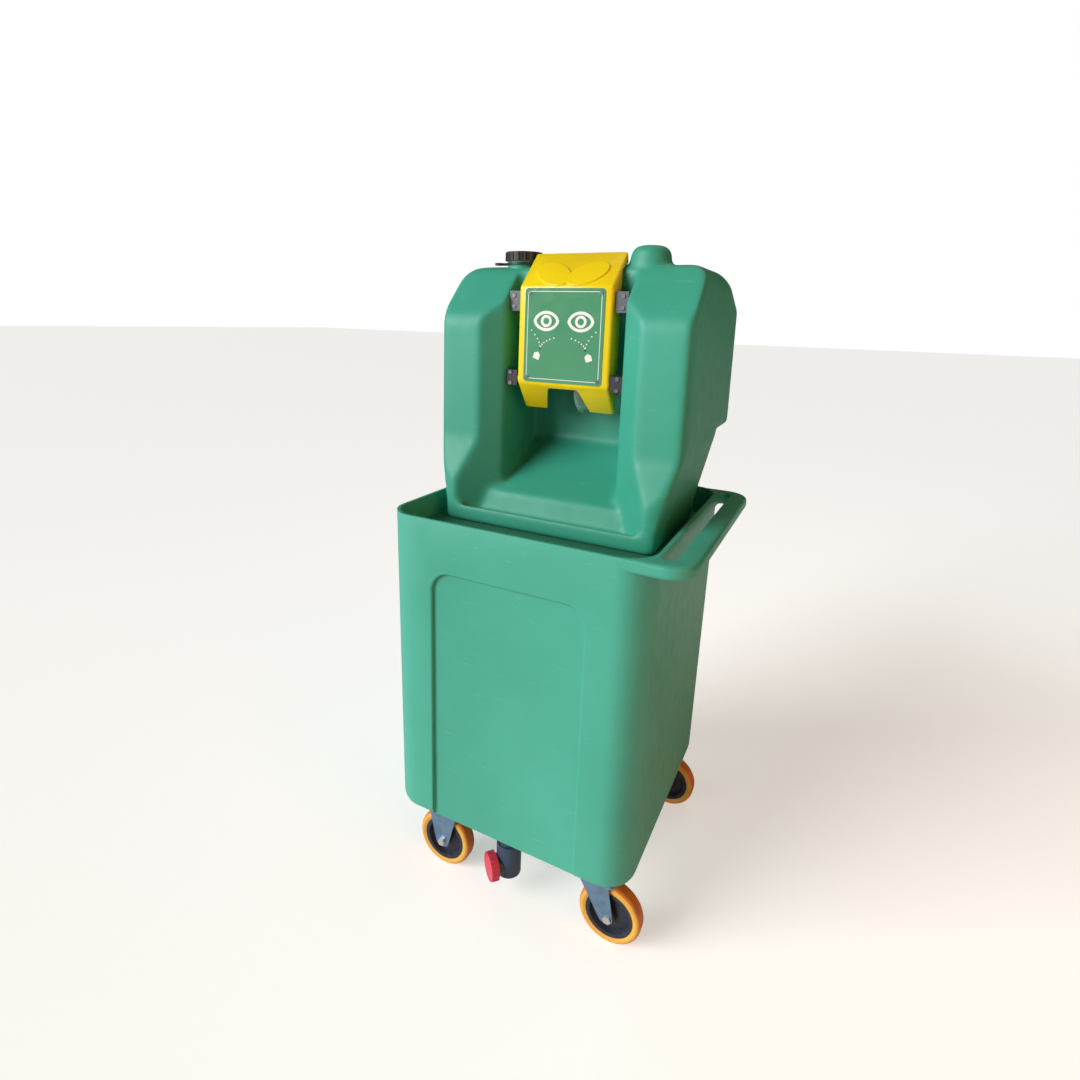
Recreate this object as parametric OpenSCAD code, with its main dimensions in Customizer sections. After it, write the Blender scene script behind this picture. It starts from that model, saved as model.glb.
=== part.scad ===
// Portable gravity-fed eyewash standing in a wheeled waste-water cart.
// X runs to the cart's push handle, Y to the back of the tank, Z up from the ground.

/* [Cart] */
// Height of the rim above the ground
rim_z = 807; // [700:1:950]
// Height of the underside of the cart body
floor_z = 153; // [150:1:200]
// Width of the body at the rim, along X
rim_w = 543; // [500:1:700]
// Depth of the body at the rim, along Y
rim_d = 563; // [520:1:700]
// How much narrower the body is at the bottom, each side
draft = 9; // [2:1:20]
// Radius of the four upright corners
cart_r = 62; // [30:1:90]
// Wall of the moulded body
cart_wall = 6; // [4:0.5:10]
// Thickness of the cart floor
cart_floor = 8; // [6:0.5:14]
// Half width of the recessed panel on the front and rear walls
panel_half = 159; // [100:1:180]
// Drop from the rim to the panel's top edge
panel_drop = 105; // [87:1:300]
// Depth of the recessed panel
panel_depth = 8; // [3:0.5:12]
// Radius of the panel's two top corners
panel_r = 40; // [10:1:60]
// Reach of the push handle past the body
handle_reach = 64.5; // [50:0.5:100]
// Width of the handle's grip bar
grip_w = 36; // [25:1:45]
// Thickness of the handle and the rim
handle_h = 25; // [18:1:35]
// Distance from each end of the hand slot to the side of the body
slot_margin = 33.5; // [32:0.5:180]
// Outer corner radius of the handle
handle_r = 52; // [30:1:60]

/* [Tank] */
// Drop from the rim to the deck face that the tank stands on
deck_drop = 47; // [27:1:67]
// Thickness of the deck
deck_t = 8; // [5:1:12]
// Width of the ledge that carries the deck
ledge_w = 14; // [10:1:20]
// Clearance between the deck and the cart wall
deck_gap = 2; // [1:0.5:4]
// How far the deck runs past the tank's foot, front and rear
deck_over = 35; // [20:1:50]
// Width of the tank
tank_w = 530; // [500:1:540]
// Width of the tank's foot
foot_w = 460; // [440:1:480]
// Height of the tank's top above the deck
tank_h = 535; // [500:1:600]
// Front face of the two columns
column_y = -100; // [-110:1:-90]
// Front face of the foot
foot_y = -130; // [-150:1:-120]
// Rear face of the foot
foot_rear_y = 185; // [150:1:220]
// Rear face of the tank
tank_rear_y = 376; // [340:1:420]
// Wall of the moulded tank
tank_wall = 6; // [4:0.5:8]
// Width of the recess between the columns
recess_w = 254; // [240:1:270]
// Rear wall of the recess, at the basin
recess_y = 83; // [75:1:100]
// Front face of the recess wall behind the arm's top
shelf_y = -8; // [-10:1:0]
// Width of the chamfer on each column's inner front edge
column_chamfer = 43; // [20:1:50]
// Distance of the fill neck and the boss from the middle
neck_x = 140; // [135:1:160]
// Distance of the fill neck and the boss from the front
neck_y = 34; // [30:1:60]
// Outer radius of the fill neck
neck_r = 34; // [28:0.5:36]
// Bore radius of the fill neck
neck_bore_r = 27; // [20:0.5:29]
// Height of the fill neck over the tank's top
neck_h = 24; // [18:1:30]

/* [Arm] */
// Width of the yellow arm
arm_w = 200; // [190:1:210]
// Wall of the arm
arm_wall = 3; // [2:0.5:4]
// Front face of the arm
arm_y = -60; // [-62:1:-55]
// Depth of the arm's side walls
arm_depth = 45; // [40:1:47]
// Height of the arm's front panel, from its bottom edge
panel_h = 192; // [180:1:200]
// Drop from the tank's top to the front panel's bottom edge
arm_drop = 237; // [230:1:245]
// Height of the arm's hinge pin over the panel's bottom edge
pivot_up = 8; // [6:1:14]
// Hinge pin's distance behind the arm's front face
pivot_in = 12; // [12:1:16]
// Radius of the hinge pin
pivot_r = 5; // [4:0.5:6]
// Clearance of the arm on the hinge pin
run_gap = 0.06; // [0.02:0.01:0.1]
// Width of the label plate
label_w = 170; // [150:1:180]
// Thickness of the label plate
label_t = 1.2; // [0.8:0.1:2]
// Half width of the arch in the bottom flap, at its foot
arch_half = 53; // [40:1:60]

/* [Hose] */
// Outer radius of the supply hose
hose_r = 10; // [9:0.5:10]
// Radius of the hose's loop
loop_r = 46; // [44:1:48]
// Distance of the hose from the middle
hose_x = 27; // [26:1:28]

/* [Casters] */
// Radius of the wheels
wheel_r = 62.5; // [50:0.5:62.5]
// Width of the tyres
tyre_w = 32; // [25:1:38]
// Radius of the wheel core
core_r = 48; // [35:1:52]
// Radius of the axle bolt
axle_r = 5; // [4:0.5:6]
// Distance of the rigid casters from the rim's left side
rigid_in = 111.5; // [81.5:0.5:151.5]
// Distance of the swivel stems from the rim's right side
swivel_in = 86.5; // [76.5:0.5:121.5]
// Distance of all casters from the rim's front and rear
caster_in = 68.5; // [68.5:0.5:101.5]
// Trail of the swivel casters
trail = 36; // [25:1:45]
// Length of the caster plates
plate_l = 100; // [95:1:110]
// Width of the caster plates
plate_w = 84; // [80:1:90]
// Radius of the plate bolts
bolt_r = 4; // [3:0.5:5]

/* [Drain] */
// Drain position along X
drain_x = -6; // [-60:1:60]
// Distance of the drain from the rim's front
drain_in = 67.5; // [61.5:0.5:131.5]
// Radius of the drain pipe
pipe_r = 21; // [15:0.5:24]
// Wall of the drain fittings
pipe_wall = 5; // [3:0.5:6]
// Height of the drain outlet's axis over the ground
outlet_z = 66; // [60:1:80]
// Direction of the drain outlet, turned from the front towards the left
outlet_turn = 41; // [0:1:60]
// Radius of the drain cap
drain_cap_r = 29; // [27:0.5:34]

/* [Hidden] */
$fn = 48;
arc_steps = 8;
seat_gap = 0.3;
fit_gap = 0.1;

panel_top = rim_z - panel_drop;
slot_l = rim_d - 2 * slot_margin;
deck_z = rim_z - deck_drop;
tank_top = deck_z + tank_h;
arm_z = tank_top - arm_drop;
rigid_x = rim_w / 2 - rigid_in;
swivel_x = rim_w / 2 - swivel_in;
caster_y = rim_d / 2 - caster_in;
drain_y = drain_in - rim_d / 2;
pivot_y = arm_y + pivot_in;
pivot_z = arm_z + pivot_up;
arm_rear_y = arm_y + arm_depth;
handle_x = rim_w / 2 + handle_reach;
slot_x0 = rim_w / 2 + 2;
slot_x1 = handle_x - grip_w;
origin_x = (handle_x - rim_w / 2) / 2;
origin_y = (tank_rear_y - rim_d / 2) / 2;

// Heights on the tank and the basin, from the deck up or the top down
foot_top_z = deck_z + 90;
column_z = deck_z + 175;
under_z = deck_z + 200;
shoulder_z = tank_top - 109;
rear_top_z = tank_top - 100;
lip_z = deck_z + 38;
gutter_z = deck_z + 20;
crease_z = deck_z + 66;
ridge_z = deck_z + 162;
crease_y = column_y + 16;
gutter_y = (foot_y + crease_y) / 2;

// Arm outline: the top panel leans back over the tank, the flap leans back under it
arm_top_z = arm_z + panel_h;
lip_rear_y = arm_y + 72;
lip_rear_z = arm_top_z + 70;
rest_gap = 5;
flap_z = arm_z - 55;

// Hose ends and outlet
manifold_y = arm_y + 28;
loop_y = manifold_y + loop_r;
loop_z = arm_z - 8;
inlet_z = loop_z + 70;
outlet_y = loop_y + loop_r;
manifold_r = 11;
stub_r = 9;
jet_ring_r = 4;
clip_half = 12;
clamp_h = 9;
outlet_z_up = loop_z + 26;
manifold_z = arm_z + 147;
nozzle_x = 50;
nozzle_face_y = manifold_y + 12;

// Casters
plate_t = 4;
fork_t = 3;
fork_in = tyre_w / 2 + 3;
race_h = 9;
race_r = 27;
kingpin_r = 6;
pin_head_r = 10;
pin_head_h = 4 - seat_gap;
fork_end_r = 13;
hex_h = 6;
hex_ratio = 1.7;
rigid_half = 38;
swivel_half = 32;
web_z = floor_z - plate_t - race_h;
bolt_dx = plate_l / 2 - 12;
bolt_dy = plate_w / 2 - 10;

// Drain
drain_flange_r = pipe_r + 11;
drain_washer_t = 2;
drain_flange_t = 6;
drain_nut_h = 14;
elbow_top = 118;
socket_h = 16;
heel_h = 8;
drain_bore_r = pipe_r - pipe_wall;
elbow_reach = 33;
drain_cap_foot = elbow_reach - 4;
drain_spigot = elbow_reach + 6;

// Caps and the fittings of the tank
gasket_t = 2;
cap_end = 4;
cap_foot = 12;
cap_wall = 5;
boss_r = 38;
boss_h = 41;
boss_round = 24;
tether_t = 5;
finger_x = neck_r + 20;
finger_r = 9;
strainer_r = 10;
strainer_hole_r = 7;
strainer_bore_r = 5;
outlet_r = 9;
outlet_bore_r = 6;
elbow_r = 12;
rivet_r = 2;
screw_r = 2;

// ---- outlines ----

function unit(v) = v / norm(v);
function left_of(v) = [-v.y, v.x];
function before(pts, i) = pts[(i + len(pts) - 1) % len(pts)];
function after(pts, i) = pts[(i + 1) % len(pts)];
function turn(pts, i) = sign(cross(pts[i] - before(pts, i), after(pts, i) - pts[i]));

// An anticlockwise outline moved inwards by d, or outwards where d is negative
function inset(pts, d) = [
    for (i = [0:len(pts) - 1])
        let (n1 = left_of(unit(pts[i] - before(pts, i))),
             n2 = left_of(unit(after(pts, i) - pts[i])))
        pts[i] + d * (n1 + n2) / (1 + n1 * n2)
];

// The arc that rounds the corner b between a and c
function corner(a, b, c, r) =
    r <= 0 ? [b] :
    let (u = unit(a - b), v = unit(c - b), half = acos(u * v) / 2, sweep = 180 - 2 * half,
         mid = b + unit(u + v) * r / sin(half),
         from = b + u * r / tan(half) - mid, to = b + v * r / tan(half) - mid)
    [for (k = [0:arc_steps])
        mid + (from * sin(sweep * (1 - k / arc_steps)) + to * sin(sweep * k / arc_steps))
            / sin(sweep)];

// An outline with rounded corners, kept a constant distance d inside its first shape
function rounded(pts, radii, d = 0) =
    let (q = inset(pts, d))
    [for (i = [0:len(q) - 1])
        each corner(before(q, i), q[i], after(q, i), radii[i] == 0 ? 0 : radii[i] - d * turn(pts, i))];

function box_outline(x0, y0, x1, y1) = [[x0, y0], [x1, y0], [x1, y1], [x0, y1]];

module round_box(x0, y0, x1, y1, r, z0, z1) {
    translate([0, 0, z0])
        linear_extrude(z1 - z0)
            polygon(rounded(box_outline(x0, y0, x1, y1), [r, r, r, r]));
}

// Extrudes a Y-Z outline along X, centred
module along_x(w) {
    translate([-w / 2, 0, 0]) rotate([90, 0, 90]) linear_extrude(w) children();
}

// Extrudes an X-Z outline along Y, from y0 to y1
module along_y(y0, y1) {
    translate([0, y1, 0]) rotate([90, 0, 0]) linear_extrude(y1 - y0) children();
}

module rod_x(x0, x1, y, z, r) {
    translate([x0, y, z]) rotate([0, 90, 0]) cylinder(h = x1 - x0, r = r);
}

module rod_y(y0, y1, x, z, r) {
    translate([x, y0, z]) rotate([-90, 0, 0]) cylinder(h = y1 - y0, r = r);
}

module rod_z(z0, z1, x, y, r) {
    translate([x, y, z0]) cylinder(h = z1 - z0, r = r);
}

// Moves the cart-centred design so that the origin is under the middle of the whole object
module row() {
    translate([-origin_x, -origin_y, 0]) children();
}

// A flat ring standing on Z = 0
module ring(h, outer_r, inner_r) {
    difference() {
        cylinder(h = h, r = outer_r);
        translate([0, 0, -1]) cylinder(h = h + 2, r = inner_r);
    }
}

module mirrored_x() {
    children();
    mirror([1, 0, 0]) children();
}

// ---- cart ----

// Half sizes of the body at a height
function half_w(z) = rim_w / 2 - draft * (rim_z - z) / (rim_z - floor_z);
function half_d(z) = rim_d / 2 - draft * (rim_z - z) / (rim_z - floor_z);

module cart_slice(z, wall) {
    round_box(-half_w(z) + wall, -half_d(z) + wall, half_w(z) - wall, half_d(z) - wall,
        cart_r - wall, z, z + 0.01);
}

module cart_hull(z0, z1, wall) {
    hull() {
        cart_slice(z0, wall);
        cart_slice(z1 - 0.01, wall);
    }
}

// Outline of the recessed panel, grown by g
module panel_outline(g) {
    polygon(rounded([[-panel_half - g, floor_z - 20], [panel_half + g, floor_z - 20],
        [panel_half + g, panel_top + g], [-panel_half - g, panel_top + g]],
        [0, 0, panel_r + g, panel_r + g]));
}

// A slab under the panel outline, from depth a to depth b behind the leaning front face
module panel_slab(a, b, g) {
    lean = atan(draft / (rim_z - floor_z));
    translate([0, -rim_d / 2, rim_z]) rotate([lean, 0, 0]) translate([0, 0, -rim_z])
        along_y(a, b) panel_outline(g);
}

module both_panels(a, b, g) {
    panel_slab(a, b, g);
    mirror([0, 1, 0]) panel_slab(a, b, g);
}

module handle_frame() {
    frame_d = half_d(rim_z - handle_h);
    difference() {
        round_box(rim_w / 2 - 2 * handle_r, -frame_d, handle_x, frame_d, handle_r,
            rim_z - handle_h, rim_z);
        round_box(slot_x0, -slot_l / 2, slot_x1, slot_l / 2, 12, rim_z - handle_h - 1, rim_z + 1);
    }
}

module cart_body() row() color([0.24, 0.62, 0.5]) {
    ledge_z = deck_z - deck_t;
    open_w = half_w(ledge_z) - cart_wall - ledge_w;
    open_d = half_d(ledge_z) - cart_wall - ledge_w;
    difference() {
        union() {
            cart_hull(floor_z, rim_z, 0);
            handle_frame();
        }
        both_panels(-20, panel_depth, 0);
        difference() {
            cart_hull(floor_z + cart_floor, rim_z + 1, cart_wall);
            both_panels(0, panel_depth + cart_wall, cart_wall);
            difference() {
                round_box(-rim_w / 2, -rim_d / 2, rim_w / 2, rim_d / 2, cart_r,
                    ledge_z - deck_t, ledge_z);
                round_box(-open_w, -open_d, open_w, open_d, cart_r - cart_wall,
                    ledge_z - deck_t - 1, ledge_z + 1);
            }
        }
        rod_z(floor_z - 1, floor_z + cart_floor + 1, drain_x, drain_y, pipe_r);
        caster_bolt_places() rod_z(floor_z - 1, floor_z + cart_floor + 1, 0, 0, bolt_r);
    }
}

module tank_deck() row() color([0.2, 0.5, 0.4]) {
    ledge_z = deck_z - deck_t;
    deck_w = half_w(ledge_z) - cart_wall - deck_gap;
    round_box(-deck_w, foot_y - deck_over, deck_w, foot_rear_y + deck_over, 20, ledge_z, deck_z);
}

// ---- tank ----

module tank_side(d) {
    polygon(rounded([[foot_y, deck_z], [foot_rear_y, deck_z], [foot_rear_y, under_z],
        [tank_rear_y - 40, under_z], [tank_rear_y, under_z + 40], [tank_rear_y, rear_top_z],
        [column_y + 265, tank_top], [column_y + 100, tank_top], [column_y, shoulder_z],
        [column_y, column_z], [foot_y, foot_top_z]],
        [8, 20, 25, 30, 30, 45, 60, 50, 50, 60, 60], d));
}

module tank_plan(d) {
    polygon(rounded(box_outline(-tank_w / 2, foot_y, tank_w / 2, tank_rear_y),
        [60, 60, 70, 70], d));
}

module tank_front(d) {
    f = foot_w / 2;
    w = tank_w / 2;
    polygon(rounded([[-f, deck_z], [f, deck_z], [f + 2, deck_z + 45], [w, under_z - 10],
        [w, tank_top], [-w, tank_top], [-w, under_z - 10], [-f - 2, deck_z + 45]],
        [10, 10, 40, 60, 40, 40, 60, 40], d));
}

// The space between the columns with the basin at its foot
module recess_side(d) {
    polygon(rounded([[foot_y - 100, lip_z], [foot_y + 3, lip_z], [foot_y + 12, gutter_z],
        [crease_y - 12, gutter_z], [crease_y, crease_z], [recess_y, ridge_z],
        [recess_y, arm_z + 62], [shelf_y, arm_z + 132], [shelf_y, tank_top + 100],
        [foot_y - 100, tank_top + 100]],
        [0, 4, 1, 1, 8, 20, 20, 20, 0, 0], -d));
}

module recess_plan(d) {
    w = recess_w / 2;
    front = column_chamfer + 60;
    polygon(inset([[-w - front, column_y - 50], [w + front, column_y - 50],
        [w, column_y + 36], [w, recess_y + 20], [-w, recess_y + 20], [-w, column_y + 36]], -d));
}

module recess(d) {
    intersection() {
        along_x(2 * tank_w) recess_side(d);
        translate([0, 0, gutter_z - 20]) linear_extrude(tank_h + 100) recess_plan(d);
    }
}

module tank_solid(d) {
    difference() {
        intersection() {
            along_x(tank_w + 2) tank_side(d);
            along_y(foot_y - 1, tank_rear_y + 1) tank_front(d);
            translate([0, 0, deck_z - 1]) linear_extrude(tank_h + 2) tank_plan(d);
        }
        recess(d);
    }
}

module tank_shell() row() color([0.22, 0.58, 0.46]) difference() {
    union() {
        tank_solid(0);
        rod_z(tank_top - tank_wall, tank_top + neck_h, -neck_x, neck_y, neck_r);
        translate([neck_x, neck_y, tank_top - tank_wall]) rotate_extrude()
            polygon(concat([[0, 0], [boss_r, 0]],
                corner([boss_r, 0], [boss_r, boss_h], [0, boss_h], boss_round), [[0, boss_h]]));
    }
    tank_solid(tank_wall);
    rod_z(tank_top - 2 * tank_wall, tank_top + neck_h + 1, -neck_x, neck_y, neck_bore_r);
    rod_z(tank_top - 2 * tank_wall, tank_top + boss_h - 3 * tank_wall, neck_x, neck_y, boss_r - 7);
    rod_y(recess_y - 1, recess_y + tank_wall + 1, hose_x, outlet_z_up, outlet_r);
    rod_z(gutter_z - 2 * tank_wall, gutter_z + 1, 0, gutter_y, strainer_hole_r);
}

module fill_gasket() row() color([0.15, 0.15, 0.15])
    translate([-neck_x, neck_y, tank_top + neck_h]) ring(gasket_t, neck_r - 0.5, neck_bore_r);

module fill_cap() row() color([0.1, 0.1, 0.11])
    translate([-neck_x, neck_y, tank_top + cap_foot]) {
        inside_h = neck_h + gasket_t + seat_gap - cap_foot;
        rib_r = 2;
        difference() {
            union() {
                cylinder(h = inside_h + cap_end, r = neck_r + cap_wall);
                for (a = [0:20:340])
                    rotate(a) translate([neck_r + cap_wall, 0, 0])
                        cylinder(h = inside_h + cap_end - rib_r, r = rib_r);
            }
            translate([0, 0, -1]) cylinder(h = inside_h + 1, r = neck_r + seat_gap);
        }
    }

// A flat strap: one ring round the neck and a finger loop beside it
module cap_tether() row() color([0.12, 0.12, 0.12])
    translate([-neck_x, neck_y, tank_top + 3]) rotate(200) linear_extrude(tether_t) difference() {
        union() {
            circle(r = neck_r + 3);
            translate([neck_r, -tether_t]) square([finger_x - neck_r - 5, 2 * tether_t]);
            translate([finger_x, 0]) circle(r = finger_r);
        }
        circle(r = neck_r + fit_gap);
        translate([finger_x, 0]) circle(r = finger_r - tether_t);
    }

module tank_outlet() row() color([0.75, 0.75, 0.72]) {
    flange_t = 4;
    z = outlet_z_up;
    difference() {
        union() {
            rod_y(recess_y - flange_t, recess_y, hose_x, z, 2 * outlet_r);
            rod_y(recess_y, recess_y + tank_wall + 16, hose_x, z, outlet_r);
            rod_y(outlet_y, recess_y - flange_t + 1, hose_x, z, elbow_r);
            translate([hose_x, outlet_y, z]) sphere(r = elbow_r);
            rod_z(loop_z, z, hose_x, outlet_y, outlet_r);
        }
        rod_y(outlet_y, recess_y + tank_wall + 17, hose_x, z, outlet_bore_r);
        rod_z(loop_z - 1, z, hose_x, outlet_y, outlet_bore_r);
    }
}

module outlet_nut() row() color([0.6, 0.6, 0.58])
    translate([hose_x, recess_y + tank_wall, outlet_z_up]) rotate([-90, 0, 0]) difference() {
        cylinder(h = 10, r = 17, $fn = 6);
        translate([0, 0, -1]) cylinder(h = 12, r = outlet_r);
    }

module basin_strainer() row() color([0.9, 0.9, 0.88]) difference() {
    union() {
        rod_z(gutter_z, gutter_z + 2, 0, gutter_y, strainer_r);
        rod_z(gutter_z - tank_wall, gutter_z + 1, 0, gutter_y, strainer_hole_r - fit_gap);
    }
    rod_z(gutter_z - tank_wall - 1, gutter_z + 3, 0, gutter_y, strainer_bore_r);
}

// ---- arm ----

arm_outline = [[arm_y, arm_z], [arm_rear_y - 3, flap_z], [arm_rear_y, flap_z + 4],
    [arm_rear_y, tank_top - 2 * rest_gap], [lip_rear_y + 4, tank_top + rest_gap],
    [lip_rear_y, lip_rear_z], [arm_y, arm_top_z]];

// The hollow behind the flap, the front panel and the top, open at the back
module arm_hollow() {
    q = inset(arm_outline, arm_wall);
    low = q[0];
    high = q[6];
    polygon([low + 1.4 * (arm_outline[1] - arm_outline[0]), [lip_rear_y + 60, flap_z - 40],
        [lip_rear_y + 60, lip_rear_z + 40], high + 1.4 * (arm_outline[5] - arm_outline[6]),
        high, low]);
}

module arm_arch() {
    low = flap_z - 5;
    high = arm_z - 6;
    polygon([[-arch_half, low], [arch_half, low], [arch_half * 0.6, high], [-arch_half * 0.6, high]]);
}

module activation_arm() row() color([0.98, 0.85, 0.1]) {
    half = arm_w / 2;
    difference() {
        union() {
            difference() {
                along_x(arm_w) polygon(arm_outline);
                along_x(arm_w - 2 * arm_wall) arm_hollow();
            }
            mirrored_x() rod_x(half - arm_wall - 7, half - 1, pivot_y, pivot_z, pivot_r + 5);
        }
        along_y(arm_y - 1, arm_rear_y + 20) arm_arch();
        rod_x(-half - 1, half + 1, pivot_y, pivot_z, pivot_r + run_gap);
        label_places() rod_y(arm_y - 1, arm_y + arm_wall + 1, 0, 0, rivet_r);
    }
}

// The four corners of the label plate
module label_places() {
    for (x = [-1, 1] * (label_w / 2 - 9), z = [arm_z + 12, arm_top_z - 12])
        translate([x, 0, z]) children();
}

module arm_label() row() color([0.55, 0.72, 0.6]) difference() {
    along_y(arm_y - label_t, arm_y)
        polygon(rounded(box_outline(-label_w / 2, arm_z + 3, label_w / 2, arm_top_z - 3),
            [7, 7, 7, 7]));
    label_places() rod_y(arm_y - label_t - 1, arm_y + 1, 0, 0, rivet_r);
}

module label_rivets() row() color([0.8, 0.8, 0.8]) label_places() {
    rod_y(arm_y - label_t - 1.5, arm_y - label_t, 0, 0, rivet_r + 1.5);
    rod_y(arm_y - label_t, arm_y + arm_wall, 0, 0, rivet_r);
    rod_y(arm_y + arm_wall, arm_y + arm_wall + 1, 0, 0, rivet_r + 1);
}

module arm_pins() row() color([0.7, 0.7, 0.72]) mirrored_x()
    rod_x(arm_w / 2 - arm_wall - 5, recess_w / 2 - 1, pivot_y, pivot_z, pivot_r);

block_x = arm_w / 2 + 1.5;
screw_x = (arm_w / 2 + recess_w / 2) / 2 + 3;
screw_l = 14;

// One block on a column's inner wall
module wall_block(z0, z1, y0, y1) {
    translate([block_x, y0, z0]) cube([recess_w / 2 - block_x, y1 - y0, z1 - z0]);
}

module block_screws(y, zs) {
    for (z = zs) {
        rod_y(y - 2, y, screw_x, z, 2 * screw_r);
        rod_y(y, y + screw_l, screw_x, z, screw_r);
    }
}

module screw_holes(y, zs) {
    for (z = zs) rod_y(y - 1, y + screw_l, screw_x, z, screw_r);
}

hinge_zs = [pivot_z - 11, pivot_z + 11];
hinge_half = 16;
hinge_front = column_y + 42;
hinge_d = 26;
catch_z = arm_top_z - 48;
catch_h = 40;
catch_zs = [catch_z + 9, catch_z + catch_h - 9];
catch_front = column_y + 50;
catch_rear = catch_front + 42;

module hinge_brackets() row() color([0.2, 0.2, 0.21]) mirrored_x() difference() {
    wall_block(pivot_z - hinge_half, pivot_z + hinge_half, hinge_front, hinge_front + hinge_d);
    rod_x(arm_w / 2, recess_w / 2 - 1, pivot_y, pivot_z, pivot_r);
    screw_holes(hinge_front, hinge_zs);
}

module hinge_screws() row() color([0.7, 0.7, 0.72]) mirrored_x()
    block_screws(hinge_front, hinge_zs);

module catch() {
    difference() {
        union() {
            wall_block(catch_z, catch_z + catch_h, catch_front, catch_rear);
            translate([arm_w / 2 - 12, arm_rear_y + seat_gap, catch_z + 4])
                cube([14, catch_rear - arm_rear_y - seat_gap, catch_h / 2]);
        }
        screw_holes(catch_front, catch_zs);
    }
}

module right_catch() row() color([0.2, 0.2, 0.21]) catch();

module left_catch() row() color([0.2, 0.2, 0.21]) mirror([1, 0, 0]) catch();

module catch_screws() row() color([0.7, 0.7, 0.72]) mirrored_x()
    block_screws(catch_front, catch_zs);

// ---- water way ----

module spray_manifold() row() color([0.3, 0.45, 0.4]) difference() {
    union() {
        rod_x(-nozzle_x - 14, nozzle_x + 14, manifold_y, manifold_z, manifold_r);
        for (x = [-nozzle_x, nozzle_x])
            rod_y(manifold_y, nozzle_face_y, x, manifold_z, manifold_r - 1);
        rod_z(inlet_z, manifold_z, hose_x, manifold_y, stub_r);
    }
    rod_x(-nozzle_x - 8, nozzle_x + 8, manifold_y, manifold_z, manifold_r - 3);
    for (x = [-nozzle_x, nozzle_x])
        rod_y(manifold_y, nozzle_face_y + 1, x, manifold_z, outlet_bore_r);
    rod_z(inlet_z - 1, manifold_z, hose_x, manifold_y, outlet_bore_r);
}

module manifold_clip() row() color([0.25, 0.25, 0.25]) difference() {
    clip_r = manifold_r + 3;
    clip_y = arm_y + arm_wall;
    union() {
        translate([-clip_half, clip_y, manifold_z - clip_r])
            cube([2 * clip_half, manifold_y - clip_y, 2 * clip_r]);
        rod_x(-clip_half, clip_half, manifold_y, manifold_z, clip_r);
    }
    rod_x(-clip_half - 1, clip_half + 1, manifold_y, manifold_z, manifold_r + fit_gap);
}

// Spray head: a flat dish with a ring of jets, facing the back of the arm
module nozzle(x) {
    difference() {
        union() {
            rod_y(nozzle_face_y, nozzle_face_y + 4, x, manifold_z, manifold_r - 1);
            rod_y(nozzle_face_y + 3, nozzle_face_y + 9, x, manifold_z, 19);
        }
        rod_y(nozzle_face_y - 1, nozzle_face_y + 6, x, manifold_z, outlet_bore_r);
        for (a = [0:60:300])
            rod_y(nozzle_face_y, nozzle_face_y + 10, x + jet_ring_r * cos(a),
                manifold_z + jet_ring_r * sin(a), 1);
    }
}

module left_nozzle() row() color([0.85, 0.3, 0.1]) nozzle(-nozzle_x);

module right_nozzle() row() color([0.85, 0.3, 0.1]) nozzle(nozzle_x);

// The hose hangs in a loop from the arm's inlet to the tank's outlet
hose_steps = 24;
hose_path = concat(
    [for (k = [0:3]) [hose_x, manifold_y, inlet_z + (loop_z - inlet_z) * k / 4]],
    [for (k = [0:hose_steps])
        [hose_x, loop_y - loop_r * cos(180 * k / hose_steps),
            loop_z - loop_r * sin(180 * k / hose_steps)]]);

hose_sides = 12;

// One ring round the path: the hose lies in a plane of constant X
function hose_ring(i) =
    let (p = hose_path[i], a = hose_path[max(i - 1, 0)],
         b = hose_path[min(i + 1, len(hose_path) - 1)],
         t = i == 0 || i == len(hose_path) - 1 ? [0, 0, i == 0 ? -1 : 1] : unit(b - a),
         side = [0, t.z, -t.y])
    [for (k = [0:hose_sides - 1])
        let (q = 360 * k / hose_sides) p + hose_r * (cos(q) * [1, 0, 0] + sin(q) * side)];

module supply_hose() row() color([0.8, 0.85, 0.85]) {
    n = len(hose_path);
    m = hose_sides;
    polyhedron(
        points = [for (i = [0:n - 1]) each hose_ring(i)],
        faces = concat(
            [[for (k = [0:m - 1]) k]],
            [for (i = [0:n - 2], k = [0:m - 1])
                [i * m + k, (i + 1) * m + k, (i + 1) * m + (k + 1) % m, i * m + (k + 1) % m]],
            [[for (k = [m - 1:-1:0]) (n - 1) * m + k]]));
}

module hose_clamps() row() color([0.7, 0.7, 0.72])
    translate([hose_x, manifold_y, inlet_z - clamp_h - 5])
        ring(clamp_h, hose_r + 2, hose_r + fit_gap);

// ---- drain ----

module at_drain() {
    translate([drain_x, drain_y, 0]) children();
}

module at_outlet() {
    at_drain() translate([0, 0, outlet_z]) rotate([0, 0, -outlet_turn]) rotate([90, 0, 0]) children();
}

module drain_bulkhead() row() color([0.35, 0.45, 0.5]) at_drain() difference() {
    flange_z = floor_z + cart_floor + drain_washer_t;
    union() {
        rod_z(flange_z, flange_z + drain_flange_t, 0, 0, drain_flange_r);
        rod_z(elbow_top - socket_h, flange_z + 1, 0, 0, pipe_r);
    }
    rod_z(elbow_top - socket_h - 1, flange_z + drain_flange_t + 1, 0, 0, drain_bore_r);
}

module drain_washer() row() color([0.1, 0.1, 0.1]) at_drain()
    translate([0, 0, floor_z + cart_floor]) ring(drain_washer_t, drain_flange_r, pipe_r);

module drain_nut() row() color([0.35, 0.45, 0.5]) at_drain() difference() {
    translate([0, 0, floor_z - drain_nut_h])
        cylinder(h = drain_nut_h, r = drain_flange_r + 2, $fn = 8);
    rod_z(floor_z - drain_nut_h - 1, floor_z + 1, 0, 0, pipe_r);
}

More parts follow.
